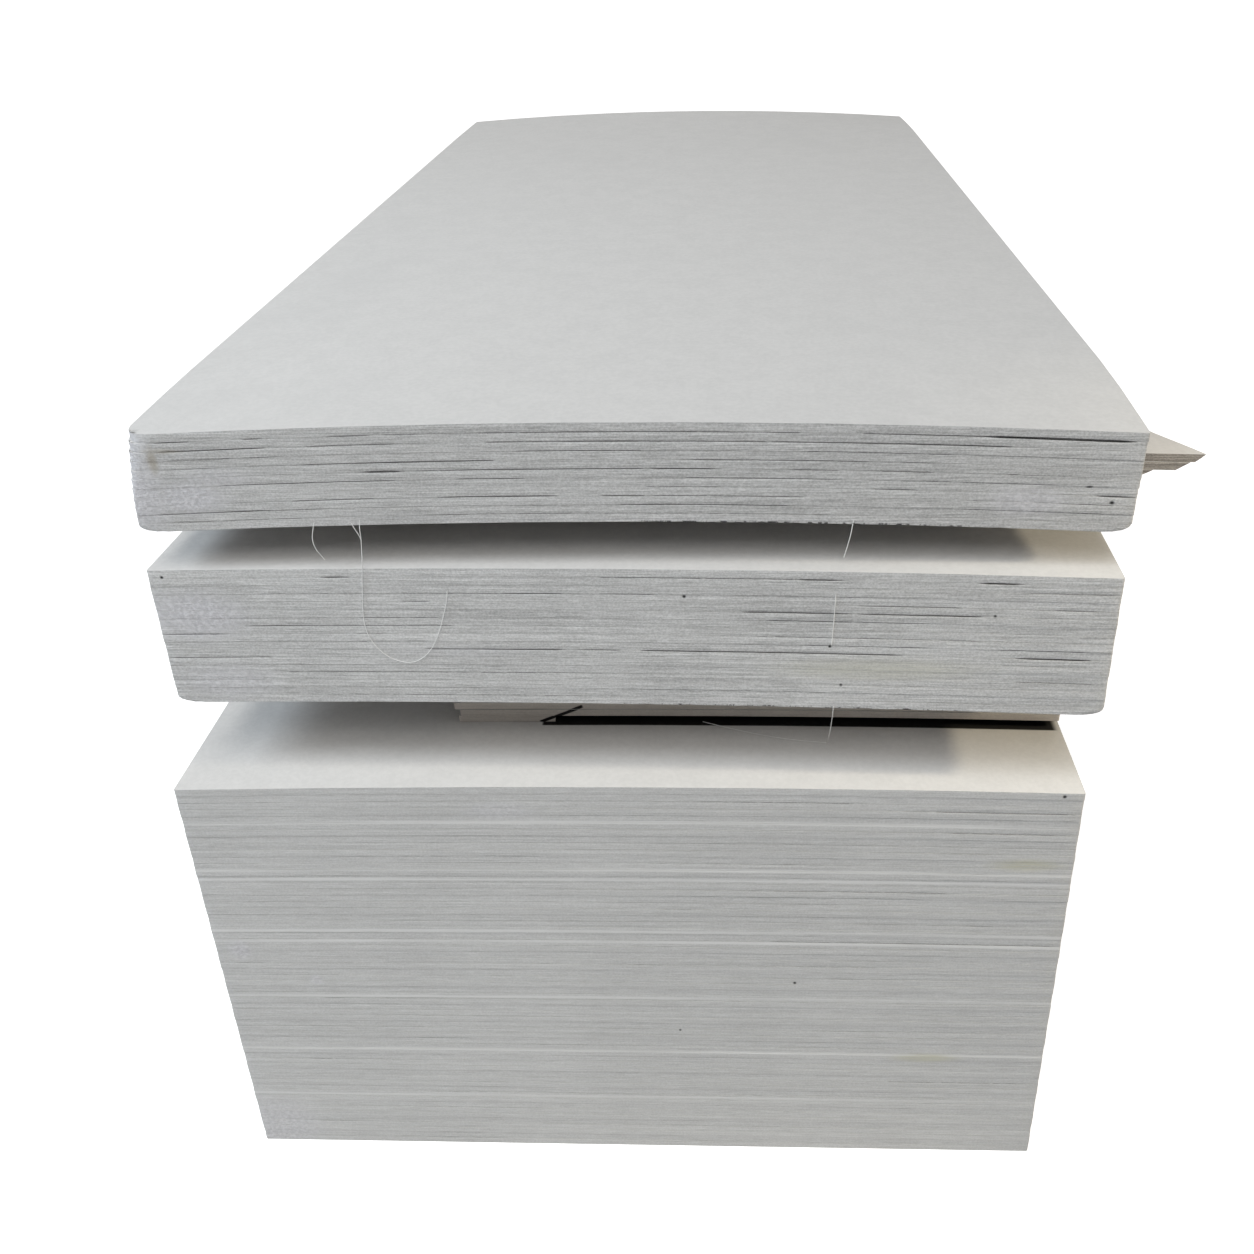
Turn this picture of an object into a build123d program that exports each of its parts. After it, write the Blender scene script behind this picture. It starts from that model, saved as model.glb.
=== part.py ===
from build123d import *
import os
from math import cos, degrees, sin, sqrt

# Three packs of magnesium oxide board, stacked with piles of board offcuts between them.
# Lengths are in millimetres. +X is to the right of the short end that faces the viewer,
# +Y runs along the boards, away from the viewer, and +Z is up. The origin is the middle of
# the underside of the lowest board.

# One board
board_width = 1220.0
board_length = 2440.0
board_thickness = 11.6

# Boards and offcuts lie on each other with this much air at their edges
air_gap = 0.15

# Number of boards in each pack, and in each solid group of the bottom pack
bottom_count = 60
bottom_group = 5
middle_count = 17
top_count = 11

# The packs are a little higher along their centre line than at their long sides
crown = 8.0

# The top pack bends where it overhangs its front and rear rows of strips. At the front its
# sides go down, the right one more, and at the rear its middle rises.
front_drop = 7.5
front_lean = 6.0
front_power = 1.5
rear_drop = 5.0
rear_lean = 4.0
rear_crown = 17.0
rear_power = 1.5
bend_spans = 3
spare_spans = 2

# Each pack stands back from the bottom pack's front, and is shifted and turned on it
middle_setback = 34.6
middle_shift = 12.6
middle_turn = -1.3
top_setback = 47.4
top_shift = 23.8
top_turn = 0.155

# Boards slip in their pack by up to this much
end_slip = 0.25
side_slip = 0.3
end_slip_step = 2.1
side_slip_step = 1.3

# The lower boards of the top pack lie up to this much further to the left
top_side_lean = 4.5

# The lowest board of the two upper packs has worn corners, and the front left corner of the
# other boards of the top pack is worn more the higher they lie
worn_corner_radius = 26.0
worn_count = 1
left_wear_low = 2.0
left_wear_high = 33.0
left_wear_power = 2.0

# Offcut strips that hold the packs apart
lower_strip_thickness = 10.8
upper_strip_thickness = 11.6
strip_width = 98.0
strip_end_slip = 5.0
strip_side_slip = 1.6
strip_slip_step = 2.4
lower_strip_count = 10
upper_strip_count = 5

# Rows of strips: how far their faces stand in from the ends of the bottom pack
lower_row_inset = 152.0
upper_row_inset = 272.0
row_end_inset = 34.0

# The front row of the lower gap starts short of the left side, and its lowest layer is
# two pieces, of which the right one is set back under the others
short_row_inset = 362.0
foot_piece_length = 142.0
foot_piece_gap = 42.0
foot_setback = 46.0

# The strips of the upper front row stick out on the right and are broken off slanting
strip_overhang = 173.0
overhang_shares = (0.4, 0.48, 0.6, 0.88, 1.0)
break_slant = 62.0

# Cutting shapes run past what they cut by this much
overrun = 120.0

board_pitch = board_thickness + air_gap
lower_strip_pitch = lower_strip_thickness + air_gap
upper_strip_pitch = upper_strip_thickness + air_gap
half_width = board_width / 2
half_length = board_length / 2
bowed_half_width = half_width + strip_overhang + overrun
bowed_half_length = half_length + overrun
cutter_height = board_thickness + rear_crown + overrun
bend_start = half_length - upper_row_inset
front_bend = half_length - top_setback - bend_start
rear_bend = half_length + top_setback - bend_start

middle_level = bottom_count * board_pitch + lower_strip_count * lower_strip_pitch
upper_gap_level = middle_level + middle_count * board_pitch
top_level = upper_gap_level + upper_strip_count * upper_strip_pitch


def bow_height(x, rise):
    """Height at x of an arc that is rise high over the middle and zero at a board's sides."""
    radius = (half_width**2 + rise**2) / (2 * rise)
    return sqrt(radius**2 - x**2) - (radius - rise)


def bowed_edge(level, rise):
    """The line of a bowed face across the pack: an arc, or a straight line with no rise."""
    x = bowed_half_width
    if rise == 0:
        return Line((-x, level), (x, level))
    side = level + bow_height(x, rise)
    return ThreePointArc((-x, side), (0, level + rise), (x, side))


def bowed_section(thickness, rise, drop=0.0):
    """Section of a bowed slab in the XZ plane, its sides lowered by drop."""
    lower = bowed_edge(-drop, rise + drop)
    upper = bowed_edge(thickness - drop, rise + drop)
    sides = [Line(lower @ 0, upper @ 0), Line(lower @ 1, upper @ 1)]
    return make_face(Curve() + [lower, upper, *sides])


def leaning_section(thickness, rise, drop, lean):
    """A bowed section whose right side is lower than its left side by lean."""
    section = Plane.XZ * bowed_section(thickness, rise, drop)
    return Rot(0, degrees(lean / board_width), 0) * section.face()


def bowed_slab(thickness, rise):
    """A slab wide enough for any board or strip, bowed across its width."""
    section = Plane.XZ * bowed_section(thickness, rise)
    return extrude(section, bowed_half_length, both=True)


def bent_slab(thickness):
    """A slab for the top pack: bowed across its width and bent beyond the rows of strips."""
    front_sections = []
    rear_sections = []
    for span in range(bend_spans + spare_spans + 1):
        share = span / bend_spans
        bend = share**front_power
        section = leaning_section(thickness, crown, front_drop * bend, front_lean * bend)
        front_sections.append(Pos(0, -bend_start - front_bend * share, 0) * section)
        bend = share**rear_power
        rise = crown + (rear_crown - crown) * bend
        section = leaning_section(thickness, rise, rear_drop * bend, rear_lean * bend)
        rear_sections.append(Pos(0, bend_start + rear_bend * share, 0) * section)
    return loft([*reversed(front_sections), *rear_sections], ruled=True)


def plan_cutter(width, length):
    """An upright block with the plan of a board or strip, standing around its level."""
    return extrude(Rectangle(width, length), cutter_height, both=True)


def worn_cutter(width, length):
    """An upright block with the plan of a board whose corners are worn round."""
    return extrude(RectangleRounded(width, length, worn_corner_radius), cutter_height, both=True)


def left_worn_cutter(radius):
    """An upright block with the plan of a board that is round at its front left corner only."""
    plan = Rectangle(board_width, board_length)
    corner = plan.vertices().group_by(Axis.X)[0].sort_by(Axis.Y)[0]
    return extrude(fillet(corner, radius), cutter_height, both=True)


def in_pack(setback, shift, turn):
    """Place of a pack's middle: moved back, moved sideways and turned about its front."""
    return Pos(shift, setback - half_length, 0) * Rot(0, 0, turn) * Pos(0, half_length, 0)


def slipped(index):
    """Small offset of one board within its pack."""
    return Pos(side_slip * sin(side_slip_step * index), end_slip * sin(end_slip_step * index), 0)


def top_lean(index):
    """Sideways offset of one board of the top pack, counted from below."""
    return Pos(-top_side_lean * (1 - index / max(top_count - 1, 1)), 0, 0)


def middle_cutter(index):
    """Cutter for one board of the middle pack, counted from below."""
    cutter = worn_cutter if index < worn_count else plan_cutter
    return cutter(board_width, board_length)


def top_cutter(index):
    """Cutter for one board of the top pack, counted from below."""
    if index < worn_count:
        return worn_cutter(board_width, board_length)
    share = (index / max(top_count - 1, 1)) ** left_wear_power
    return left_worn_cutter(left_wear_low + (left_wear_high - left_wear_low) * share)


def strip_slip(layer):
    """Small offset of one strip within its pile."""
    return Pos(
        strip_end_slip * sin(strip_slip_step * layer),
        strip_side_slip * cos(strip_slip_step * layer),
        0,
    )


def strip_plan(left, right, front, width):
    """Upright block with the plan of a straight strip."""
    return Pos((left + right) / 2, front + width / 2, 0) * plan_cutter(right - left, width)


def broken_plan(left, right, front, width):
    """Upright block with the plan of a strip whose right end is broken off slanting."""
    outline = Polyline(
        (left, front),
        (right, front),
        (right - break_slant, front + width),
        (left, front + width),
        close=True,
    )
    return extrude(make_face(outline), cutter_height, both=True)


def row_fronts(inset):
    """Front faces of the front, middle and rear rows of strips in one gap."""
    first = -half_length + inset
    return {"front": first, "middle": -strip_width / 2, "rear": -first - strip_width}


def full_row(slab, level, pitch, count, front):
    """A pile of strips that reaches nearly from side to side."""
    end = half_width - row_end_inset
    solids = []
    for layer in range(count):
        plan = strip_slip(layer) * strip_plan(-end, end, front, strip_width)
        solids.append(Pos(0, 0, level + layer * pitch) * (slab & plan))
    return solids


def lower_front_row(slab, level, front):
    """The pile at the front of the lower gap, with its two-piece lowest layer."""
    left = -half_width + short_row_inset
    right = half_width - strip_end_slip
    foot_end = left + foot_piece_length
    foot_plan = broken_plan(left, foot_end, front, strip_width)
    recessed_plan = strip_plan(
        foot_end + foot_piece_gap, right, front + foot_setback, strip_width - foot_setback
    )
    solids = [Pos(0, 0, level) * (slab & foot_plan), Pos(0, 0, level) * (slab & recessed_plan)]
    for layer in range(1, lower_strip_count):
        plan = strip_slip(layer) * strip_plan(left, right, front, strip_width)
        solids.append(Pos(0, 0, level + layer * lower_strip_pitch) * (slab & plan))
    return solids


def upper_front_row(slab, level, front):
    """The pile at the front of the upper gap, which sticks out on the right."""
    left = -half_width + row_end_inset
    solids = []
    for layer, share in enumerate(overhang_shares):
        right = half_width + middle_shift + strip_overhang * share
        plan = broken_plan(left, right, front + strip_side_slip * layer, strip_width)
        solids.append(Pos(0, 0, level + layer * upper_strip_pitch) * (slab & plan))
    return solids


def write(name, solids):
    """Write one node, with one solid for each board or strip in it."""
    shape = solids[0] if len(solids) == 1 else Compound(children=solids)
    export_step(shape, f"parts/{name}.step")
    print(name, len(solids))


def only_solid(shape):
    return shape.solids()[0]


os.makedirs("parts", exist_ok=True)

# Bottom pack: flat on the floor, bowed a little more with each board
for first in range(0, bottom_count, bottom_group):
    group = []
    for index in range(first, min(first + bottom_group, bottom_count)):
        rise = crown * index / max(bottom_count - 1, 1)
        plan = slipped(index) * plan_cutter(board_width, board_length)
        board = bowed_slab(board_thickness, rise) & plan
        group.append(only_solid(Pos(0, 0, index * board_pitch) * board))
    write(f"bottom_boards_{first // bottom_group + 1:02d}", group)

# Middle pack
board_slab = bowed_slab(board_thickness, crown)
middle_place = in_pack(middle_setback, middle_shift, middle_turn)
for index in range(middle_count):
    board = board_slab & middle_place * slipped(index) * middle_cutter(index)
    level = middle_level + index * board_pitch
    write(f"middle_board_{index + 1:02d}", [only_solid(Pos(0, 0, level) * board)])

# Top pack
top_slab = bent_slab(board_thickness)
top_place = in_pack(top_setback, top_shift, top_turn)
for index in range(top_count):
    board = top_slab & top_place * top_lean(index) * slipped(index) * top_cutter(index)
    level = top_level + index * board_pitch
    write(f"top_board_{index + 1:02d}", [only_solid(Pos(0, 0, level) * board)])

# Offcut strips in the lower gap
lower_slab = bowed_slab(lower_strip_thickness, crown)
lower_level = bottom_count * board_pitch
for row, front in row_fronts(lower_row_inset).items():
    if row == "front":
        strips = lower_front_row(lower_slab, lower_level, front)
    else:
        strips = full_row(lower_slab, lower_level, lower_strip_pitch, lower_strip_count, front)
    write(f"lower_spacer_{row}", [only_solid(strip) for strip in strips])

# Offcut strips in the upper gap
upper_slab = bowed_slab(upper_strip_thickness, crown)
for row, front in row_fronts(upper_row_inset).items():
    if row == "front":
        strips = upper_front_row(upper_slab, upper_gap_level, front)
    else:
        strips = full_row(upper_slab, upper_gap_level, upper_strip_pitch, upper_strip_count, front)
    write(f"upper_spacer_{row}", [only_solid(strip) for strip in strips])
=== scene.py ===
import math

import bmesh
import bpy
from mathutils import Matrix, Vector, geometry, noise
from mathutils.bvhtree import BVHTree


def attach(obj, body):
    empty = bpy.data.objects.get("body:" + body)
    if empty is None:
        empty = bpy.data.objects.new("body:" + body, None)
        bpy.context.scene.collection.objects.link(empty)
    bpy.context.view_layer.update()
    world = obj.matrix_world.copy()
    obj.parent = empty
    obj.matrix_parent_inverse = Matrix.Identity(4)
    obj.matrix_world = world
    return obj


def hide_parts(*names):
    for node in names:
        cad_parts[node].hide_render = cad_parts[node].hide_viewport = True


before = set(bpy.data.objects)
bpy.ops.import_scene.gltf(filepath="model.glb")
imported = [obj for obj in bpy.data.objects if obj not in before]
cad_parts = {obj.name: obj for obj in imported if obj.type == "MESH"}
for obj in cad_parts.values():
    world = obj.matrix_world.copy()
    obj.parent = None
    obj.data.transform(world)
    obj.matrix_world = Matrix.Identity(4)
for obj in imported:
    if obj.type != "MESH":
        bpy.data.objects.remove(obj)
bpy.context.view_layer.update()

# A stack of magnesium oxide boards in three packs, dressed around its frame. Metres.
millimetre = 0.001

# Boards and strips are numbered for the shader: a pack's first number, then one more each
firstNumber = {"bottom": 0, "middle": 100, "top": 200, "strips": 300}


# Shader maths

class Wire:
    def __init__(self, tree, socket=None):
        self.tree = tree
        self.socket = socket

    def node(self, kind, settings=None, inputs=None, output=0):
        made = self.tree.nodes.new(kind)
        for name, value in (settings or {}).items():
            setattr(made, name, value)
        for key, value in (inputs or {}).items():
            if isinstance(value, Wire):
                self.tree.links.new(value.socket, made.inputs[key])
            else:
                made.inputs[key].default_value = value
        return Wire(self.tree, made.outputs[output] if made.outputs else None)

    def maths(self, operation, *values):
        return self.node("ShaderNodeMath", {"operation": operation}, dict(enumerate(values)))

    def __add__(self, other):
        return self.maths("ADD", self, other)

    def __sub__(self, other):
        return self.maths("SUBTRACT", self, other)

    def __rsub__(self, other):
        return self.maths("SUBTRACT", other, self)

    def __mul__(self, other):
        return self.maths("MULTIPLY", self, other)

    def __truediv__(self, other):
        return self.maths("DIVIDE", self, other)

    __radd__ = __add__
    __rmul__ = __mul__

    def rise(self, low, high):  # 0 below low, 1 above high, smooth between
        settings = {"interpolation_type": "SMOOTHSTEP"}
        return self.node("ShaderNodeMapRange", settings, {"Value": self, "From Min": low, "From Max": high})

    def band(self, start, end):  # 1 between two soft borders, 0 outside them
        return self.rise(*start) * (1 - self.rise(*end))

    def spread(self, low, high):  # from 0 to 1 onto low to high
        return self * (high - low) + low

    def biggest(self, other):
        return self.maths("MAXIMUM", self, other)

    def absolute(self):
        return self.maths("ABSOLUTE", self)

    def vectors(self, operation, values, output=0):
        inputs = {0: self, 1: values}
        return self.node("ShaderNodeVectorMath", {"operation": operation}, inputs, output)

    def scaled(self, x, y, z):
        return self.vectors("MULTIPLY", (x, y, z))

    def shifted(self, x, y, z):
        return self.vectors("ADD", (x, y, z))

    def speckle(self, name):  # noise from the textures dict
        texture = textures[name]
        place = self.shifted(*texture["shift"]) if "shift" in texture else self
        if "stretch" in texture:
            place = place.scaled(*texture["stretch"])
        inputs = {
            "Vector": place,
            "Scale": texture["scale"],
            "Detail": texture["detail"],
            "Roughness": texture["roughness"],
        }
        made = self.node("ShaderNodeTexNoise", {}, inputs)
        return made.rise(*texture["range"]) if "range" in texture else made

    def tint(self, first, second):  # self chooses between two colours
        return self.node("ShaderNodeMix", {"data_type": "RGBA"}, {0: self, 6: first, 7: second}, 2)

    def part(self, index):
        split = self.node("ShaderNodeSeparateXYZ", {}, {0: self})
        return Wire(self.tree, split.socket.node.outputs[index])


def newMaterial(name):
    material = bpy.data.materials.new(name)
    material.use_nodes = True
    tree = material.node_tree
    tree.nodes.clear()
    return material, Wire(tree)


def finishMaterial(start, colour, height, finish):
    relief = {"Height": height, "Strength": finish["bump"], "Distance": finish["bumpDepth"]}
    inputs = {
        "Base Color": colour,
        "Roughness": finish["roughness"],
        "Normal": start.node("ShaderNodeBump", {}, relief),
        "Specular IOR Level": finish["specular"],
    }
    shader = start.node("ShaderNodeBsdfPrincipled", {}, inputs)
    start.node("ShaderNodeOutputMaterial", {}, {"Surface": shader})


def places(start):
    return start.node("ShaderNodeTexCoord", {}, {}, "Object")


def grey(value, warmth=0.0):
    return (value * (1 + warmth), value, value * (1 - warmth), 1)


def blend(parts, shares):
    total = None
    for name, share in shares.items():
        part = parts[name] * share
        total = part if total is None else total + part
    return total


# Materials

# The place is shifted and stretched first, and the range of the noise is spread out
# to 0 and 1
textures = {
    "mottle": {"scale": 26.0, "detail": 4.0, "roughness": 0.55, "range": (0.36, 0.64)},
    "faceGrain": {"scale": 420.0, "detail": 2.0, "roughness": 0.6},
    "fleck": {
        "shift": (3.1, 0.4, 0),
        "scale": 140.0, "detail": 3.0, "roughness": 0.6, "range": (0.35, 0.65),
    },
    "smudge": {
        "stretch": (1.0, 0.6, 1.0),
        "scale": 3.1, "detail": 3.0, "roughness": 0.5, "range": (0.56, 0.74),
    },
    "streaks": {
        "stretch": (2.6, 2.6, 420.0),
        "scale": 1.0, "detail": 3.0, "roughness": 0.65, "range": (0.3, 0.7),
    },
    "fibres": {
        "stretch": (28.0, 28.0, 700.0),
        "scale": 1.0, "detail": 2.0, "roughness": 0.6, "range": (0.3, 0.7),
    },
    "felt": {
        "stretch": (1.0, 1.0, 1.4),
        "scale": 340.0, "detail": 3.0, "roughness": 0.7, "range": (0.34, 0.66),
    },
    "cloud": {"scale": 7.0, "detail": 3.0, "roughness": 0.5, "range": (0.32, 0.68)},
    "broken": {
        "stretch": (3.4, 1.0, 1.0),
        "scale": 1.0, "detail": 4.0, "roughness": 0.6, "range": (0.44, 0.66),
    },
    "fine": {
        "stretch": (70.0, 1.0, 1.0),
        "scale": 1.0, "detail": 2.0, "roughness": 0.6, "range": (0.3, 0.6),
    },
    "torn": {
        "stretch": (1.0, 0.1, 0.5),
        "scale": 130.0, "detail": 3.0, "roughness": 0.7, "range": (0.50, 0.60),
    },
    "rim": {
        "shift": (0, 0, 40), "stretch": (1.1, 1.0, 1.0),
        "scale": 1.0, "detail": 2.0, "roughness": 0.5, "range": (0.60, 0.72),
    },
    "sawn": {
        "shift": (0, 0, 11), "stretch": (2.2, 1.0, 1.0),
        "scale": 1.0, "detail": 3.0, "roughness": 0.6, "range": (0.34, 0.62),
    },
    "crumbs": {
        "stretch": (1.0, 1.0, 1.3),
        "scale": 150.0, "detail": 4.0, "roughness": 0.7, "range": (0.38, 0.62),
    },
    "smear": {
        "stretch": (1.0, 1.0, 1.6),
        "scale": 16.0, "detail": 5.0, "roughness": 0.68, "range": (0.58, 0.72),
    },
    "patch": {
        "shift": (0.3, 0, 0.7),
        "scale": 3.6, "detail": 2.0, "roughness": 0.5, "range": (0.52, 0.66),
    },
    "threadGrain": {"scale": 900.0, "detail": 1.0, "roughness": 0.5},
}

# Painted shadow of the deep slot where the lowest front strip of the lower gap is set back:
# its near-black shade colour and its borders, each from and to
slotPaintedShadow = {
    "shade": grey(0.012, 0.03),
    "left": (-0.128, -0.124),
    "right": (0.598, 0.608),
    "back": (-0.995, -0.985),
    "bottom": (0.690, 0.695),
    "top": (0.7250, 0.7256),
    "faceFront": (-1.0774, -1.0750),
    "edgeFront": (-1.0412, -1.0388),
}


# Where the slot's painted shadow falls
def slotShadowMask(place, front):
    x, y, z = place.part(0), place.part(1), place.part(2)
    across = x.band(slotPaintedShadow["left"], slotPaintedShadow["right"])
    along = y.band(front, slotPaintedShadow["back"])
    return across * along * z.band(slotPaintedShadow["bottom"], slotPaintedShadow["top"])


faceFinish = {
    "light": grey(0.635, 0.016),
    "dark": grey(0.565, 0.014),
    "smudge": grey(0.54, 0.01),
    "smudgeShare": 0.25,
    "tone": {"mottle": 0.25, "fleck": 0.4, "faceGrain": 0.35},
    "height": {"faceGrain": 0.6, "fleck": 0.4},
    "roughness": 0.86,
    "specular": 0.25,
    "bump": 0.25,
    "bumpDepth": 0.6 * millimetre,
}


def boardFace(name):
    material, start = newMaterial(name)
    place = places(start)
    parts = {key: place.speckle(key) for key in faceFinish["tone"]}
    colour = blend(parts, faceFinish["tone"]).tint(faceFinish["dark"], faceFinish["light"])
    smudge = place.speckle("smudge") * faceFinish["smudgeShare"]
    colour = smudge.tint(colour, faceFinish["smudge"])
    # painted shadow inside the slot and on the ledge just in front of it
    colour = slotShadowMask(place, slotPaintedShadow["faceFront"]).tint(colour, slotPaintedShadow["shade"])
    finishMaterial(start, colour, blend(parts, faceFinish["height"]), faceFinish)
    return material


# Spots are across, height, half widths of both and strength. Pairs are from and to, or
# the least and most of a share.
edgeFinish = {
    "light": grey(0.80),
    "dark": grey(0.26),
    # near-black painted shade for the seams, open gaps and crumbled undersides
    "gap": grey(0.02),
    # dust smears, and also the painted highlight of the pale rims
    "dust": grey(0.62, -0.01),
    "dustLight": (0.690, 0.685, 0.710, 1),
    "dustDark": (0.520, 0.515, 0.545, 1),
    "pale": grey(0.72),
    "stain": (0.33, 0.29, 0.22, 1),
    "yellow": (0.54, 0.53, 0.42, 1),
    # near-black painted shade in the pinholes
    "pit": grey(0.03),
    "tone": {"streaks": 0.28, "felt": 0.28, "fibres": 0.28, "cloud": 0.08, "board": 0.08},
    "height": {"felt": 0.5, "fibres": 0.25, "streaks": 0.2, "gap": -0.6, "pit": -1.5},
    "dustHeight": 1.3,
    "roughness": 0.9,
    "specular": 0.25,
    "bump": 0.5,
    "bumpDepth": 0.8 * millimetre,
    "lowCalm": 0.5,
    "middlePack": ((0.800, 0.815), (1.030, 1.045)),
    "midHeight": (0.49, 0.51),
    "seamShift": (7.31, 3.7),
    "numberStep": 100.0,
    "line": {"border": (0.45, 0.485), "broken": (0.2, 1.0), "fine": (0.4, 0.9), "strength": 0.6},
    "open": {"fine": (0.55, 1.35), "seen": (0.02, 0.42), "width": (0.036, 0.081), "soft": (0.55, 1.0)},
    "torn": {"across": ((-0.02, 0.03), (0.41, 0.46)), "height": (0.05, 0.26), "lowest": (0.2, 0.8)},
    "rimBorder": (0.40, 0.47),
    "paleSeams": (55.0, 48.0, 46.5, 38.4, 36.7, 27.4, 18.0, 9.4),
    "paleBorder": (0.10, 0.34),
    "paleShare": (0.3, 0.9),
    "smearShare": 0.3,
    "dustShare": (0.8, 1.1),
    "yellowShare": (0.4, 1.0),
    "spotBorder": (0.25, 1.15),
    "spotDepth": (-1.10, -1.05),
    "crack": {
        "middle": (-0.0986, 0.726),
        "acrossIt": (-0.399, 0, 0.917),
        "alongIt": (0.917, 0, 0.399),
        "halfWidth": (0.00182, 0.00312),
        "halfLength": (0.0323, 0.0357),
        "depth": (-1.062, -1.055),
    },
    "dustSpots": [
        (-0.604, 1.170, 0.058, 0.060, 1.0), (-0.590, 1.120, 0.060, 0.060, 1.0),
        (-0.520, 1.116, 0.060, 0.028, 0.9), (-0.480, 1.142, 0.060, 0.018, 0.5),
        (-0.545, 0.950, 0.085, 0.045, 0.9), (-0.520, 0.850, 0.080, 0.035, 0.6),
        (-0.574, 0.413, 0.022, 0.024, 0.8), (-0.470, 0.355, 0.012, 0.012, 0.7),
        (-0.575, 0.035, 0.075, 0.080, 0.7), (0.500, 1.105, 0.060, 0.025, 0.7),
        (-0.170, 0.672, 0.060, 0.018, 0.5), (-0.200, 0.900, 0.10, 0.012, 0.3),
    ],
    "stainSpots": [
        (-0.5530, 1.166, 0.008, 0.022, 0.55), (-0.541, 1.178, 0.030, 0.005, 0.35),
    ],
    "pitSpots": [
        (0.087, 0.984, 0.003, 0.003, 1.0), (0.270, 0.914, 0.003, 0.003, 1.0),
        (0.286, 0.856, 0.0026, 0.0026, 1.0), (-0.578, 1.005, 0.0028, 0.0028, 1.0),
        (0.601, 1.102, 0.004, 0.003, 1.0), (0.572, 1.123, 0.006, 0.002, 0.9),
        (0.583, 0.700, 0.0034, 0.0034, 1.0), (0.236, 0.359, 0.003, 0.003, 1.0),
        (0.067, 0.260, 0.0026, 0.0026, 0.9), (0.472, 0.960, 0.0026, 0.0026, 0.9),
    ],
    "yellowSpots": [
        (0.545, 0.583, 0.060, 0.014, 0.9), (0.435, 0.207, 0.060, 0.012, 0.9),
        (0.330, 0.880, 0.16, 0.020, 0.5), (0.590, 1.020, 0.03, 0.008, 0.3),
    ],
}

# What sets the edges of boards and strips apart: a colour's warmth and dimming, the tone
# between dark and light, how pale the rims of painted highlight and how dark the seams of
# painted shade are, the height below which the tone is lifted, and by how much, there and
# over the middle pack
edgeKinds = {
    "boardEdge": {
        "board": True, "warmth": 0.0, "dim": 1.0, "tone": 0.5, "rim": 0.8, "seamDepth": 1.0,
        "lowTop": (0.70, 0.80), "lift": 0.07, "middleLift": 0.06,
    },
    "stripEdge": {
        "board": False, "warmth": 0.08, "dim": 0.78, "tone": 0.25, "rim": 0.0, "seamDepth": 1.6,
        "lowTop": (0.85, 0.90), "lift": 0.66, "middleLift": 0.0,
    },
}


# Soft spots on the front, as one mask
def frontSpots(place, name):
    total = None
    for x, z, wide, high, strength in edgeFinish[name]:
        reach = place.shifted(-x, 0, -z).scaled(1 / wide, 0, 1 / high)
        length = reach.vectors("LENGTH", (0, 0, 0), 1)
        spot = (1 - length.rise(*edgeFinish["spotBorder"])) * strength
        total = spot if total is None else total.biggest(spot)
    return total * (1 - place.part(1).rise(*edgeFinish["spotDepth"]))


# Pale saw marks that run the width of the bottom pack
def paleSeams(level, along):
    total = None
    for seam in edgeFinish["paleSeams"]:
        mark = 1 - (level - seam).absolute().rise(*edgeFinish["paleBorder"])
        total = mark if total is None else total.biggest(mark)
    return total * along.speckle("sawn").spread(*edgeFinish["paleShare"])


# Painted shade in an open gap, wider and darker the further it stands open
def openLine(gap, away, fine):
    finish = edgeFinish["open"]
    strength = gap * fine.spread(*finish["fine"])
    wide = (gap * gap).spread(*finish["width"])
    return strength.rise(*finish["seen"]) * (1 - (away / wide).rise(*finish["soft"]))


# Painted shade in the slanting crack in the front strips of the lower gap
def crackShadeMask(place):
    crack = edgeFinish["crack"]
    x, z = crack["middle"]
    reach = place.shifted(-x, 0, -z)
    across = reach.vectors("DOT_PRODUCT", crack["acrossIt"], 1).absolute()
    along = reach.vectors("DOT_PRODUCT", crack["alongIt"], 1).absolute()
    inside = (1 - across.rise(*crack["halfWidth"])) * (1 - along.rise(*crack["halfLength"]))
    return inside * (1 - place.part(1).rise(*crack["depth"]))


def tinted(name, kind):
    red, green, blue, alpha = edgeFinish[name]
    warmth, dim = kind["warmth"], kind["dim"]
    return (red * dim * (1 + warmth), green * dim, blue * dim * (1 - warmth), alpha)


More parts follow.
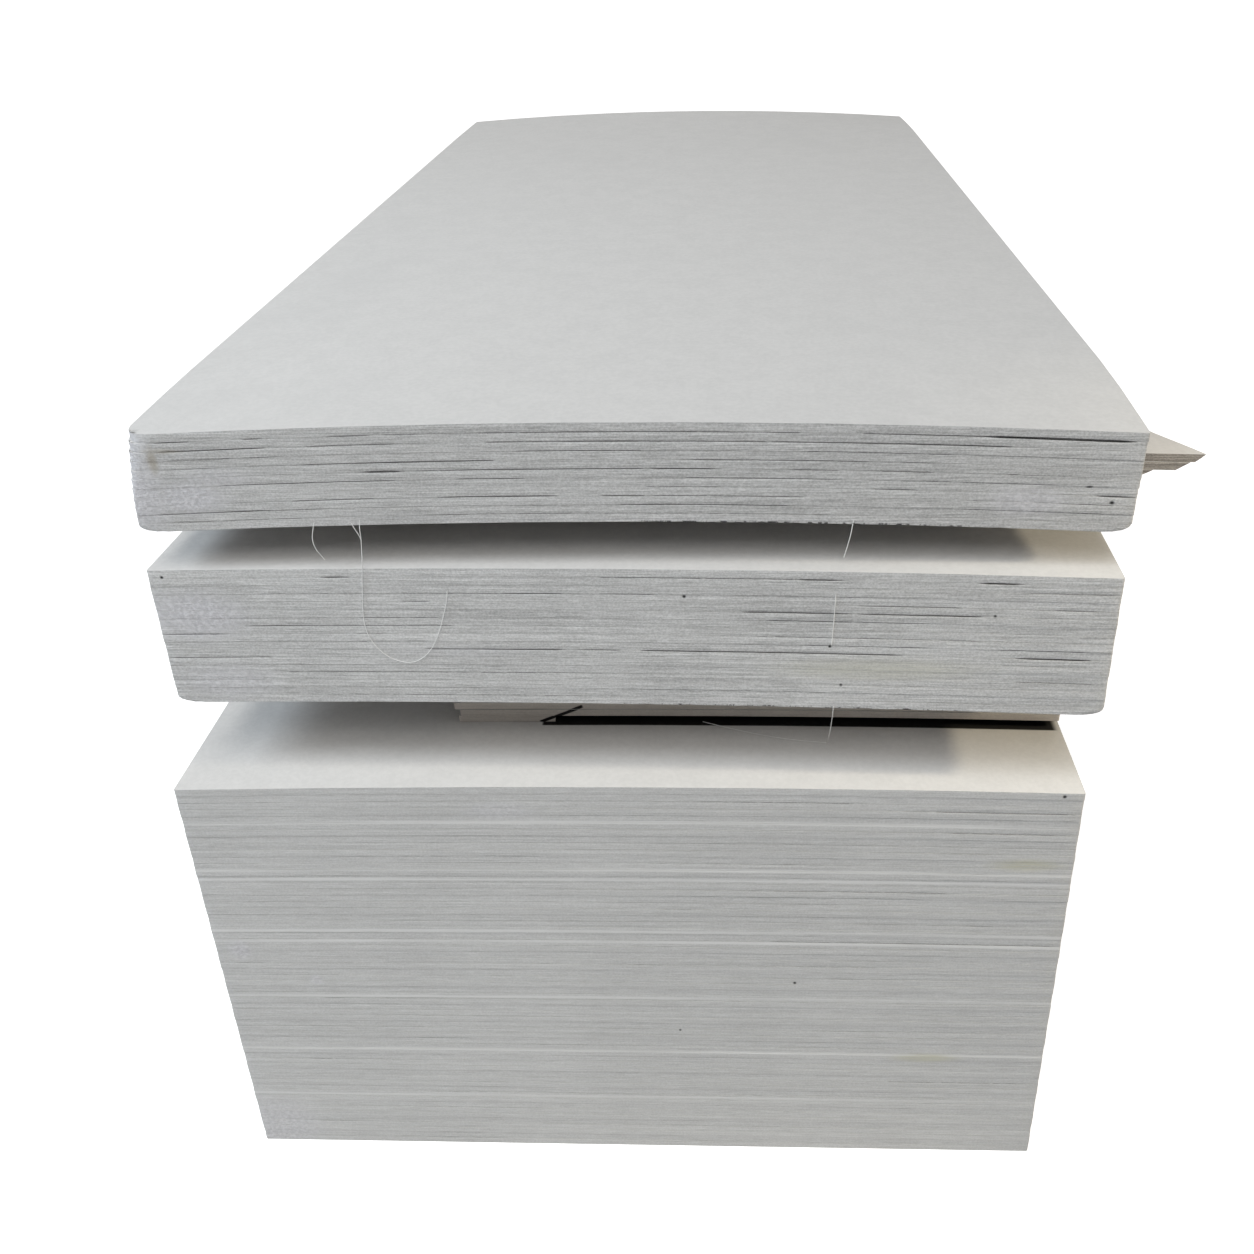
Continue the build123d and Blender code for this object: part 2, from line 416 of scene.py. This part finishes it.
# The UV map "edge" holds the run along the edge in metres, and the board's number plus
# the height within it as a share. The map "open" says how open the gaps under and over
# the board are.
def boardEdge(name):
    kind = edgeKinds[name]
    material, start = newMaterial(name)
    place = places(start)
    uv = start.node("ShaderNodeUVMap", {"uv_map": "edge"})
    run, level = uv.part(0), uv.part(1)
    number = level.maths("FLOOR", level)
    within = level - number
    parts = {key: place.speckle(key) for key in ("streaks", "felt", "fibres", "cloud")}
    parts["board"] = start.node("ShaderNodeTexWhiteNoise", {"noise_dimensions": "1D"}, {"W": number})
    low = 1 - place.part(2).rise(*kind["lowTop"])
    middle = place.part(2).band(*edgeFinish["middlePack"])
    tone = (blend(parts, edgeFinish["tone"]) - 0.5) * (1 - low * edgeFinish["lowCalm"])
    tone = tone + kind["tone"] + low * kind["lift"] + middle * kind["middleLift"]
    colour = tone.tint(tinted("dark", kind), tinted("light", kind))

    # broken dark lines of painted shade where one board ends and the next begins
    lines = edgeFinish["line"]
    apart = (within - 0.5).absolute()
    seam = number + within.rise(*edgeFinish["midHeight"])  # both sides of a gap share this number
    second, third = (seam * shift for shift in edgeFinish["seamShift"])
    along = start.node("ShaderNodeCombineXYZ", {}, {0: run, 1: second, 2: third})
    broken = along.speckle("broken").spread(*lines["broken"])
    fine = along.speckle("fine")
    line = apart.rise(*lines["border"]) * broken * fine.spread(*lines["fine"])
    gap = line * (lines["strength"] * kind["seamDepth"])
    opened = start.node("ShaderNodeUVMap", {"uv_map": "open"})
    gap = gap.biggest(openLine(opened.part(0), within, fine))
    gap = gap.biggest(openLine(opened.part(1), 1 - within, fine))

    # painted shade along the crumbled underside of a pack's lowest board
    torn = edgeFinish["torn"]
    lowest = 1 - number.maths("MODULO", number, edgeFinish["numberStep"]).rise(*torn["lowest"])
    crumbled = place.speckle("torn") * place.part(0).band(*torn["across"]) * lowest
    crumbled = crumbled * (1 - within.rise(*torn["height"])) * (1 - low)
    gap = gap.biggest(crumbled)
    colour = gap.tint(colour, edgeFinish["gap"])

    # pale rims beside the seams: painted highlight on the boards' arrises
    rim = apart.rise(*edgeFinish["rimBorder"]) * along.speckle("rim") * (1 - gap) * kind["rim"]
    colour = rim.tint(colour, tinted("dust", kind))

    # smears of dust, stains, and painted shade in a few pinholes
    smear = place.speckle("smear") * place.speckle("patch") * edgeFinish["smearShare"]
    colour = smear.tint(colour, tinted("dust", kind))
    if kind["board"]:
        colour = (paleSeams(level, along) * low).tint(colour, edgeFinish["pale"])
        crumbs = place.speckle("crumbs")
        dusty = frontSpots(place, "dustSpots") * crumbs.spread(*edgeFinish["dustShare"])
        colour = dusty.tint(colour, crumbs.tint(edgeFinish["dustDark"], edgeFinish["dustLight"]))
        colour = frontSpots(place, "stainSpots").tint(colour, edgeFinish["stain"])
        yellow = frontSpots(place, "yellowSpots") * parts["fibres"].spread(*edgeFinish["yellowShare"])
        colour = yellow.tint(colour, edgeFinish["yellow"])
    pit = frontSpots(place, "pitSpots")
    colour = pit.tint(colour, edgeFinish["pit"])
    if not kind["board"]:
        # painted shadow on the strips' edges inside the slot
        colour = slotShadowMask(place, slotPaintedShadow["edgeFront"]).tint(colour, slotPaintedShadow["shade"])
        # painted shade in the crack
        colour = crackShadeMask(place).tint(colour, slotPaintedShadow["shade"])

    parts["gap"], parts["pit"] = gap, pit
    height = blend(parts, edgeFinish["height"])
    if kind["board"]:
        height = height + dusty * crumbs * edgeFinish["dustHeight"]
    finishMaterial(start, colour, height, edgeFinish)
    return material


threadFinish = {
    "light": (0.88, 0.88, 0.86, 1),
    "dark": grey(0.72),
    "roughness": 0.45,
    "specular": 0.25,
    "bump": 0.2,
    "bumpDepth": 0.1 * millimetre,
}


def glassThread():
    material, start = newMaterial("glassThread")
    fibre = places(start).speckle("threadGrain")
    colour = fibre.tint(threadFinish["dark"], threadFinish["light"])
    finishMaterial(start, colour, fibre, threadFinish)
    return material


boardFinishes = (boardFace("boardFace"), boardEdge("boardEdge"))
stripFinishes = (boardFace("stripFace"), boardEdge("stripEdge"))
threadMaterial = glassThread()
print("materials made")


# Reading a board or strip out of the frame

def solidsOf(name):
    source = bmesh.new()
    source.from_mesh(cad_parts[name].data)
    bmesh.ops.remove_doubles(source, verts=source.verts, dist=0.02 * millimetre)
    todo = set(source.verts)
    solids = []
    while todo:
        island = {todo.pop()}
        front = list(island)
        while front:
            for edge in front.pop().link_edges:
                for vert in edge.verts:
                    if vert in todo:
                        todo.remove(vert)
                        island.add(vert)
                        front.append(vert)
        faces = {face for vert in island for face in vert.link_faces}
        solids.append(readSolid(list(island), list(faces)))
    source.free()
    solids.sort(key=lambda solid: solid["middle"].z)
    return solids


def readSolid(verts, faces):
    order = {vert: index for index, vert in enumerate(verts)}
    points = [vert.co.copy() for vert in verts]
    tree = BVHTree.FromPolygons(points, [[order[v] for v in face.verts] for face in faces])
    flat = [point.xy for point in points]
    quarter = math.pi / 2
    turn = (geometry.box_fit_2d(flat) + quarter / 2) % quarter - quarter / 2
    options = []
    for angle in (turn, -turn):
        spin = Matrix.Rotation(angle, 2)
        turned = [spin @ point for point in flat]
        low = Vector((min(p.x for p in turned), min(p.y for p in turned)))
        high = Vector((max(p.x for p in turned), max(p.y for p in turned)))
        options.append((angle, low, high, (high - low).x * (high - low).y))
    angle, low, high = min(options, key=lambda option: option[3])[:3]
    heights = [point.z for point in points]
    middle = Matrix.Rotation(-angle, 2) @ ((low + high) / 2)
    return {
        "tree": tree,
        "angle": -angle,
        "half": (high - low) / 2,
        "middle": Vector((middle.x, middle.y, (min(heights) + max(heights)) / 2)),
        "low": min(heights),
        "high": max(heights),
    }


# Where gaps between boards stand open on the front: seam counted from the pack's
# underside, from and to across the pack, and how far open, from 0 up to a wide gap's 1.5
openSeams = {
    "top": [
        (10, -0.545, -0.510, 0.7), (10, -0.440, -0.420, 0.6), (10, -0.335, -0.285, 0.5),
        (10, -0.270, -0.220, 0.3), (10, -0.155, -0.055, 0.35), (10, -0.055, 0.040, 0.6),
        (10, 0.040, 0.225, 0.5), (10, 0.300, 0.445, 0.6), (10, 0.445, 0.610, 1.5),
        (9, -0.545, -0.420, 0.8), (9, -0.370, -0.260, 0.5), (9, -0.150, -0.055, 0.45),
        (9, -0.055, 0.040, 0.8), (9, 0.035, 0.185, 0.5), (9, 0.195, 0.345, 0.7), (9, 0.345, 0.470, 0.9),
        (8, -0.480, -0.395, 0.25), (8, -0.115, 0.035, 0.45), (8, 0.230, 0.405, 0.3),
        (7, -0.375, -0.310, 0.5), (7, -0.310, -0.140, 0.8), (7, 0.095, 0.305, 0.5),
        (7, 0.315, 0.385, 0.3), (6, -0.300, -0.255, 1.2), (6, -0.240, -0.190, 0.4),
        (6, -0.190, 0.035, 0.65), (6, 0.050, 0.125, 0.9), (6, 0.215, 0.270, 0.5), (6, 0.315, 0.385, 0.5),
        (6, 0.470, 0.480, 0.8), (5, -0.480, -0.265, 0.5), (5, -0.190, -0.110, 0.5),
        (5, 0.090, 0.265, 0.4), (5, 0.345, 0.535, 0.3), (4, 0.035, 0.195, 0.25), (4, 0.315, 0.365, 0.6),
        (4, 0.580, 0.630, 1.0), (3, -0.395, -0.295, 0.6), (3, -0.210, -0.070, 0.8),
        (3, -0.010, 0.035, 0.6), (3, 0.050, 0.230, 0.4), (3, 0.505, 0.600, 0.4),
        (2, -0.580, -0.430, 0.7), (2, 0.010, 0.210, 0.5), (2, 0.420, 0.590, 0.3),
        (1, -0.565, -0.385, 0.25), (1, -0.235, 0.035, 0.3), (1, 0.035, 0.265, 0.25),
    ],
    "middle": [
        (16, -0.340, -0.315, 1.0), (16, 0.010, 0.260, 0.4), (16, 0.260, 0.305, 1.0), (16, 0.480, 0.525, 1.2),
        (14, -0.245, -0.110, 0.35), (14, -0.110, -0.040, 0.8), (14, 0.005, 0.075, 0.5),
        (13, -0.240, -0.210, 0.5), (13, 0.335, 0.455, 0.5), (13, 0.570, 0.625, 0.5),
        (12, 0.190, 0.320, 0.9), (12, 0.335, 0.480, 0.9), (11, -0.305, -0.200, 0.3), (11, 0.220, 0.325, 0.7),
        (11, 0.330, 0.430, 0.3), (10, -0.455, -0.365, 0.6), (10, -0.400, -0.185, 0.45),
        (9, -0.585, -0.485, 0.9), (9, -0.310, -0.270, 0.3), (9, 0.205, 0.485, 0.3),
        (8, -0.310, -0.215, 0.3), (8, 0.270, 0.425, 0.4), (8, 0.510, 0.615, 0.5),
        (7, -0.220, -0.045, 1.0), (7, -0.025, 0.030, 0.6), (7, 0.060, 0.170, 0.9), (7, 0.170, 0.385, 0.9),
        (7, 0.535, 0.620, 1.2), (6, -0.575, -0.430, 0.5), (4, -0.415, -0.220, 0.4), (4, -0.220, 0.025, 0.3),
        (4, 0.530, 0.635, 0.35), (2, 0.025, 0.365, 0.25), (1, -0.385, 0.025, 0.25),
    ],
    "bottom": [
        (57, 0.420, 0.600, 0.5), (58, 0.100, 0.320, 0.25), (54, 0.440, 0.600, 0.4), (37, 0.200, 0.600, 0.35),
        (45, 0.150, 0.450, 0.3), (13, 0.380, 0.600, 0.3), (20, -0.330, -0.250, 0.4),
    ],
    "strips": [],
}

edgeBuild = {
    "levels": (0.0, 0.07, 0.5, 0.93, 1.0),
    "wornLevels": (0.0, 0.05, 0.15, 0.35, 0.65, 1.0),
    "cornerShares": (0.0, 0.12, 0.28, 0.6, 1.0),
    "inward": (0.001, 0.004, 0.01, 0.02, 0.04),
    "touch": 1e-6,
    "arris": 0.05 * millimetre,
    "arrisNoise": 0.1 * millimetre,
    "arrisLevel": 0.01,
    "levelMargin": 0.002,
    "openDepth": 0.4 * millimetre,
    "rough": 0.1 * millimetre,
    "seamFade": 5 * millimetre,
    "cornerFade": 12 * millimetre,
    "chip": 7 * millimetre,
    "chipLeast": 0.1,
    "chipRange": (0.02, 0.46),
    "loose": {"share": 0.2, "gain": 2.2, "least": 0.35, "fineShare": 0.4, "fineScale": 4.3},
    "sideOffset": {"front": 0, "back": 5, "left": 9, "right": 9},
    "underOffset": 4.0,
    "overOffset": 2.0,
    "waves": {
        "loose": (5.0, 3.17),
        "arris": (31, 5.3, 1),
        "rough": (9, 1.7, 0.6),
        "chip": (70, 1, 1),
        "ragged": (24, 2.3, 1.4),
    },
}


def waver(name, *place):
    waves = edgeBuild["waves"][name]
    return noise.noise(Vector([value * wave for value, wave in zip(place, waves)]))


def openness(pack, seam, run, side):
    share, fade, loose = 0.0, edgeBuild["seamFade"], edgeBuild["loose"]
    if side == "front":
        for index, low, high, strength in openSeams[pack]:
            if index == seam and low - fade < run < high + fade:
                ends = min(1.0, (run - low + fade) / (2 * fade), (high + fade - run) / (2 * fade))
                share = max(share, strength * ends)
    runWave, seamWave = edgeBuild["waves"]["loose"]
    side = edgeBuild["sideOffset"][side]
    spot = Vector((run * runWave, seam * seamWave + firstNumber[pack], side))
    swing = noise.noise(spot) + loose["fineShare"] * noise.noise(spot * loose["fineScale"])
    return max(share, loose["share"] * max(0.0, swing * loose["gain"] - loose["least"]))


# Places across a board, close together near its two ends
def spreadPlaces(half, lowRadius, highRadius, spacing):
    shares = edgeBuild["cornerShares"]
    lowEnds = [lowRadius * share - half for share in shares]
    highEnds = [half - highRadius * share for share in reversed(shares)]
    start, end = lowEnds[-1], highEnds[0]
    count = max(2, round((end - start) / spacing))
    return lowEnds + [start + (end - start) * step / count for step in range(1, count)] + highEnds


# A board or strip of a piece is a dict: its solid, pack, index from the pack's underside,
# number for the shader, radius of its corners and of the front left one, how much further
# its underside's corners are worn, levels, column and row spacing, how far a broken end
# slants across the strip and through its thickness, and whether its underside is chipped
def newSlab(solid, pack, index, own):
    slab = {
        "solid": solid,
        "pack": pack,
        "index": index,
        "number": index + firstNumber[pack],
        "leftRadius": 0,
        "wear": 0,
        "levels": edgeBuild["levels"],
        "slant": 0,
        "undercut": 0,
        "chipped": False,
    }
    slab.update(own)
    return slab


def slabMesh(slab):
    half = slab["solid"]["half"]
    mesh = bmesh.new()
    edgeLayer = mesh.loops.layers.uv.new("edge")
    openLayer = mesh.loops.layers.uv.new("open")
    worn = slab["radius"] + slab["wear"]
    columns = spreadPlaces(half.x, max(worn, slab["leftRadius"]), worn, slab["column"])
    rows = spreadPlaces(half.y, max(worn, slab["leftRadius"]), worn, slab["row"])
    across, along = len(columns) - 1, len(rows) - 1
    bmesh.ops.create_grid(mesh, x_segments=across, y_segments=along, size=1.0)
    grown = bmesh.ops.extrude_face_region(mesh, geom=mesh.faces[:], use_keep_orig=True)["geom"]
    for item in grown:
        if isinstance(item, bmesh.types.BMVert):
            item.co.z = 1.0
    steps = len(slab["levels"]) - 1
    uprights = [edge for edge in mesh.edges if edge.verts[0].co.z != edge.verts[1].co.z]
    bmesh.ops.subdivide_edges(mesh, edges=uprights, cuts=steps - 1)
    bmesh.ops.recalc_face_normals(mesh, faces=mesh.faces[:])
    plans = {}
    for vert in mesh.verts:
        column = round((vert.co.x + 1) / 2 * across)
        row = round((vert.co.y + 1) / 2 * along)
        level = slab["levels"][round(vert.co.z * steps)]
        plans[vert] = (columns[column], rows[row], level)
    for face in mesh.faces:
        levels = [plans[vert][2] for vert in face.verts]
        face.smooth = True
        wall = max(levels) - min(levels) > edgeBuild["arrisLevel"]
        face.material_index = 1 if wall else 0
    for edge in mesh.edges:
        if len({face.material_index for face in edge.link_faces}) > 1:
            edge.smooth = False
    gaps = {}
    margin = edgeBuild["levelMargin"]
    for vert in mesh.verts:
        vert.co, gaps[vert] = slabPoint(slab, *plans[vert])
    for face in mesh.faces:
        for loop in face.loops:
            x, y, level = plans[loop.vert]
            loop[edgeLayer].uv = (x + y, slab["number"] + margin + (1 - 2 * margin) * level)
            loop[openLayer].uv = gaps[loop.vert]
    return mesh


# Where a point of the plan and level goes, and how open the gaps under and over it are
def slabPoint(slab, x, y, level):
    solid, radius = slab["solid"], slab["radius"]
    half = solid["half"]
    if x < 0 and y < 0 and slab["leftRadius"]:
        radius = slab["leftRadius"]
    radius += slab["wear"] * (1 - math.sqrt(1 - (1 - level) ** 2))
    onSide = abs(x) > half.x - edgeBuild["touch"]
    onEnd = abs(y) > half.y - edgeBuild["touch"]
    corner = Vector((max(0.0, abs(x) - (half.x - radius)), max(0.0, abs(y) - (half.y - radius))))
    inset, gaps = 0.0, (0.0, 0.0)
    if onSide or onEnd:
        inset, gaps = edgeInset(slab, x, y, level, onEnd)
    if corner.x > 0 and corner.y > 0 and corner.length > radius - inset:
        corner *= (radius - inset) / corner.length
        x = math.copysign(half.x - radius + corner.x, x)
        y = math.copysign(half.y - radius + corner.y, y)
    elif onSide:
        x -= math.copysign(inset, x)
    elif onEnd:
        y -= math.copysign(inset, y)
    if slab["slant"] and x > half.x - stripBuild["brokenReach"]:
        x -= brokenBack(slab, x, y, level)
    low, high = surfaceLevels(solid, x, y)
    if level < edgeBuild["arrisLevel"] and slab["chipped"] and onEnd and y < 0:
        if edgeBuild["chipRange"][0] < x < edgeBuild["chipRange"][1]:
            low += edgeBuild["chip"] * max(0.0, waver("chip", x, slab["number"], 0) - edgeBuild["chipLeast"])
    spin = Matrix.Rotation(solid["angle"], 2)
    flat = spin @ Vector((x, y)) + solid["middle"].xy
    return Vector((flat.x, flat.y, low + (high - low) * level)), gaps


# How far an edge stands back at a point of it, and the same two gaps
def edgeInset(slab, x, y, level, onEnd):
    solid = slab["solid"]
    half = solid["half"]
    run, side = (x, "front" if y < 0 else "back") if onEnd else (y, "left" if x < 0 else "right")
    world = run + (solid["middle"].x if onEnd else solid["middle"].y)
    fade = min(1.0, (half.x - abs(x) if onEnd else half.y - abs(y)) / edgeBuild["cornerFade"])
    gaps = tuple(fade * openness(slab["pack"], slab["index"] + step, world, side) for step in (0, 1))
    if min(level, 1 - level) > edgeBuild["arrisLevel"]:
        return edgeBuild["rough"] * (0.5 + waver("rough", world, slab["number"], level)), gaps
    seam = slab["index"] + round(level)
    chip = waver("arris", world, seam, edgeBuild["overOffset" if level > 0.5 else "underOffset"])
    inset = edgeBuild["arris"] + edgeBuild["arrisNoise"] * (0.5 + chip)
    return inset + edgeBuild["openDepth"] * gaps[round(level)], gaps


# How far a strip's broken end stands back at a point of it
def brokenBack(slab, x, y, level):
    half = slab["solid"]["half"]
    ragged = max(0.0, waver("ragged", y, slab["number"], level))
    nearness = 1 - (half.x - x) / stripBuild["brokenReach"]
    back = slab["slant"] * (y + half.y) / (2 * half.y)
    back += slab["undercut"] * (1 - level) + stripBuild["ragged"] * ragged
    return back * nearness


# The underside and top of a solid at a place, or at the nearest one a little further in
def surfaceLevels(solid, x, y):
    spin = Matrix.Rotation(solid["angle"], 2)
    for step in edgeBuild["inward"]:
        inner = Vector([math.copysign(max(0.0, abs(value) - step), value) for value in (x, y)])
        place = spin @ inner + solid["middle"].xy
        above = Vector((place.x, place.y, solid["high"] + 1))
        below = Vector((place.x, place.y, solid["low"] - 1))
        top = solid["tree"].ray_cast(above, Vector((0, 0, -1)))[0]
        bottom = solid["tree"].ray_cast(below, Vector((0, 0, 1)))[0]
        if top and bottom:
            return bottom.z, top.z
    raise RuntimeError("no surface under a point of a slab")


def addPiece(name, slabs, finishes):
    whole = bmesh.new()
    for slab in slabs:
        mesh = slabMesh(slab)
        part = bpy.data.meshes.new("part")
        mesh.to_mesh(part)
        mesh.free()
        whole.from_mesh(part)
        bpy.data.meshes.remove(part)
    data = bpy.data.meshes.new(name)
    whole.to_mesh(data)
    whole.free()
    for material in finishes:
        data.materials.append(material)
    piece = bpy.data.objects.new(name, data)
    bpy.context.collection.objects.link(piece)
    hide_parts(nodeOf[name])
    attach(piece, "root")


def camel(node):
    words = node.split("_")
    return words[0] + "".join(word.capitalize() for word in words[1:])


nodeOf = {camel(node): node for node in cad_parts}


# Boards

boardBuild = {
    "radius": 3 * millimetre,
    "wear": 34 * millimetre,
    "leftLow": 2 * millimetre,
    "leftHigh": 33 * millimetre,
    "leftIndex": 10,
    "columns": {"bottom": 20 * millimetre, "middle": 10 * millimetre, "top": 10 * millimetre},
    "rows": {"bottom": 400 * millimetre, "middle": 300 * millimetre, "top": 100 * millimetre},
    "fineColumn": 6 * millimetre,
}


def boardSlab(solid, pack, index):
    own = {
        "radius": boardBuild["radius"],
        "column": boardBuild["columns"][pack],
        "row": boardBuild["rows"][pack],
    }
    if pack != "bottom" and index == 0:
        own["wear"] = boardBuild["wear"]
        own["levels"] = edgeBuild["wornLevels"]
        own["column"] = boardBuild["fineColumn"]
        own["chipped"] = True
    elif pack == "top":
        growth = (boardBuild["leftHigh"] - boardBuild["leftLow"]) * (index / boardBuild["leftIndex"]) ** 2
        own["leftRadius"] = boardBuild["leftLow"] + growth
    return newSlab(solid, pack, index, own)


packs = {"bottom": [], "middle": [], "top": []}
for node in sorted(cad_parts):
    pack = node.split("_")[0]
    if "_board" in node:
        packs[pack].append(node)

for pack, nodes in packs.items():
    index = 0
    for node in nodes:
        slabs = []
        for solid in solidsOf(node):
            slabs.append(boardSlab(solid, pack, index))
            index += 1
        addPiece(camel(node), slabs, boardFinishes)
    print(pack, "pack made", index)


# Spacer strips

stripBuild = {
    "radius": 3 * millimetre,
    "column": 40 * millimetre,
    "row": 20 * millimetre,
    "slant": 62 * millimetre,
    "undercuts": [share * millimetre for share in (10, 15, 24, 18, 14)],
    "ragged": 3 * millimetre,
    "brokenReach": 120 * millimetre,
    "shortHalf": 100 * millimetre,
}

for node in sorted(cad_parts):
    if "spacer" not in node:
        continue
    slabs = []
    for index, solid in enumerate(solidsOf(node)):
        short = node == "lower_spacer_front" and solid["half"].x < stripBuild["shortHalf"]
        own = {key: stripBuild[key] for key in ("radius", "column", "row")}
        if node == "upper_spacer_front" or short:
            own["slant"] = stripBuild["slant"]
        if node == "upper_spacer_front":
            own["undercut"] = stripBuild["undercuts"][index]
        slabs.append(newSlab(solid, "strips", index, own))
    addPiece(camel(node), slabs, stripFinishes)
print("strips made")


# Glass fibre threads that hang frayed out of the boards' edges

threadBuild = {
    "radius": 0.5 * millimetre,
    "paths": [
        [(-0.368, -1.175, 1.083), (-0.371, -1.177, 1.072), (-0.373, -1.179, 1.061), (-0.370, -1.179, 1.047),
         (-0.364, -1.179, 1.038), (-0.361, -1.179, 1.033)],
        [(-0.322, -1.175, 1.083), (-0.318, -1.177, 1.075), (-0.312, -1.179, 1.065), (-0.311, -1.180, 1.060)],
        [(-0.311, -1.175, 1.086), (-0.312, -1.177, 1.075), (-0.311, -1.179, 1.065),
         (-0.314, -1.179, 1.033), (-0.317, -1.179, 1.012), (-0.326, -1.179, 0.946),
         (-0.321, -1.179, 0.917), (-0.304, -1.180, 0.894), (-0.285, -1.180, 0.884),
         (-0.266, -1.181, 0.883), (-0.247, -1.181, 0.896), (-0.233, -1.181, 0.918),
         (-0.222, -1.182, 0.948), (-0.213, -1.182, 0.977), (-0.211, -1.182, 0.991)],
        [(0.294, -1.175, 1.082), (0.293, -1.177, 1.076), (0.290, -1.179, 1.058), (0.284, -1.179, 1.034)],
        [(0.275, -1.192, 0.989), (0.274, -1.192, 0.950), (0.272, -1.192, 0.916)],
        [(0.278, -1.192, 0.824), (0.277, -1.190, 0.806), (0.278, -1.160, 0.765), (0.278, -1.125, 0.720),
         (0.278, -1.117, 0.712)],
        [(0.104, -1.069, 0.714), (0.143, -1.087, 0.715), (0.185, -1.101, 0.714), (0.234, -1.113, 0.713),
         (0.278, -1.117, 0.712)],
    ],
}


def addThread(name, points):
    curve = bpy.data.curves.new(name, "CURVE")
    curve.dimensions = "3D"
    curve.bevel_depth = threadBuild["radius"]
    curve.bevel_resolution = 1
    curve.resolution_u = 4
    spline = curve.splines.new("NURBS")
    spline.points.add(len(points) - 1)
    for point, place in zip(spline.points, points):
        point.co = (*place, 1)
    spline.order_u = 3
    spline.use_endpoint_u = True
    curve.materials.append(threadMaterial)
    piece = bpy.data.objects.new(name, curve)
    bpy.context.collection.objects.link(piece)
    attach(piece, "root")


for index, points in enumerate(threadBuild["paths"]):
    addThread(f"glassThread{index + 1}", points)
print("threads made")


# Floor, lights and camera

stageFinish = {"albedo": 0.7, "glow": 0.75, "size": 80.0, "world": 0.13}


# The floor glows for the camera alone, so that it looks white
def addFloor():
    mesh = bmesh.new()
    bmesh.ops.create_grid(mesh, x_segments=1, y_segments=1, size=stageFinish["size"])
    data = bpy.data.meshes.new("floor")
    mesh.to_mesh(data)
    mesh.free()
    floor = bpy.data.objects.new("floor", data)
    bpy.context.collection.objects.link(floor)
    material, start = newMaterial("floor")
    seen = start.node("ShaderNodeLightPath", {}, {}, "Is Camera Ray")
    diffuse = start.node("ShaderNodeBsdfDiffuse", {}, {"Color": grey(stageFinish["albedo"])})
    glow = start.node("ShaderNodeEmission", {}, {"Color": grey(1.0), "Strength": seen * stageFinish["glow"]})
    surface = start.node("ShaderNodeAddShader", {}, {0: diffuse, 1: glow})
    start.node("ShaderNodeOutputMaterial", {}, {"Surface": surface})
    data.materials.append(material)


def addWorld():
    world = bpy.data.worlds.new("studio")
    world.use_nodes = True
    bpy.context.scene.world = world
    world.node_tree.nodes.clear()
    start = Wire(world.node_tree)
    seen = start.node("ShaderNodeLightPath", {}, {}, "Is Camera Ray")
    strength = seen.spread(stageFinish["world"], 1.0)
    sky = start.node("ShaderNodeBackground", {}, {"Color": grey(1.0), "Strength": strength})
    start.node("ShaderNodeOutputWorld", {}, {"Surface": sky})


# A sun's size is an angle, the others' is a length
lights = [
    {
        "name": "frontTop", "kind": "SUN", "place": (-0.2, -2.32, 4.9), "target": (0, -0.9, 0.9),
        "size": math.radians(42), "power": 1.42, "colour": (1, 0.977, 0.935),
    },
    {
        "name": "backTop", "kind": "SUN", "place": (0.3, 3.2, 3.4), "target": (0, 0, 0.6),
        "size": math.radians(60), "power": 0.28, "colour": (1, 0.985, 0.96),
    },
    {
        "name": "front", "kind": "AREA", "place": (-1.6, -5.0, 5.0), "target": (0, -1.1, 0.8),
        "size": 1.6, "power": 61, "colour": (1, 1, 0.98),
    },
    {
        "name": "leftFill", "kind": "AREA", "place": (-4.2, -2.0, 4.5), "target": (-0.3, -1.0, 0.8),
        "size": 2.4, "power": 165, "colour": (0.80, 0.905, 1),
    },
    {
        "name": "rightKey", "kind": "SPOT", "place": (2.08, -1.32, 1.72), "target": (0.56, -1.14, 0.64),
        "size": 0.07, "power": 80, "colour": (1, 0.87, 0.62), "cone": math.radians(40), "blend": 0.9,
    },
]


def addLight(lamp):
    light = bpy.data.lights.new(lamp["name"], lamp["kind"])
    light.energy = lamp["power"]
    light.color = lamp["colour"]
    if lamp["kind"] == "SUN":
        light.angle = lamp["size"]
    if lamp["kind"] == "AREA":
        light.shape = "DISK"
        light.size = lamp["size"]
    if lamp["kind"] == "SPOT":
        light.shadow_soft_size = lamp["size"]
        light.spot_size = lamp["cone"]
        light.spot_blend = lamp["blend"]
    holder = bpy.data.objects.new(lamp["name"], light)
    holder.location = lamp["place"]
    facing = Vector(lamp["target"]) - Vector(lamp["place"])
    holder.rotation_euler = facing.to_track_quat("-Z", "Y").to_euler()
    bpy.context.collection.objects.link(holder)


# Fitted to the corners and edges of the stack. Angles in degrees.
cameraFit = {
    "place": (0.149188, -2.558077, 1.743948),
    "pitch": 28.433,
    "yaw": -2.758,
    "roll": -1.470,
    "sensor": 36,
    "lens": 36.1185,
    "shiftX": -0.04282,
    "shiftY": -0.03363,
    "far": 300,
}


def addCamera():
    pitch, yaw, roll = (math.radians(cameraFit[key]) for key in ("pitch", "yaw", "roll"))
    forward = Vector((math.sin(yaw) * math.cos(pitch), math.cos(yaw) * math.cos(pitch), -math.sin(pitch)))
    right = Vector((math.cos(yaw), -math.sin(yaw), 0))
    up = right.cross(forward)
    across = right * math.cos(roll) + up * math.sin(roll)
    upright = up * math.cos(roll) - right * math.sin(roll)
    data = bpy.data.cameras.new("camera")
    data.sensor_width = cameraFit["sensor"]
    data.lens = cameraFit["lens"]
    data.shift_x = cameraFit["shiftX"]
    data.shift_y = cameraFit["shiftY"]
    data.clip_end = cameraFit["far"]
    camera = bpy.data.objects.new("camera", data)
    turn = Matrix((across, upright, -forward)).transposed()
    camera.matrix_world = Matrix.Translation(cameraFit["place"]) @ turn.to_4x4()
    bpy.context.collection.objects.link(camera)
    bpy.context.scene.camera = camera


addFloor()
addWorld()
for lamp in lights:
    addLight(lamp)
addCamera()
bpy.context.scene.view_settings.view_transform = "Standard"
print("stage made")
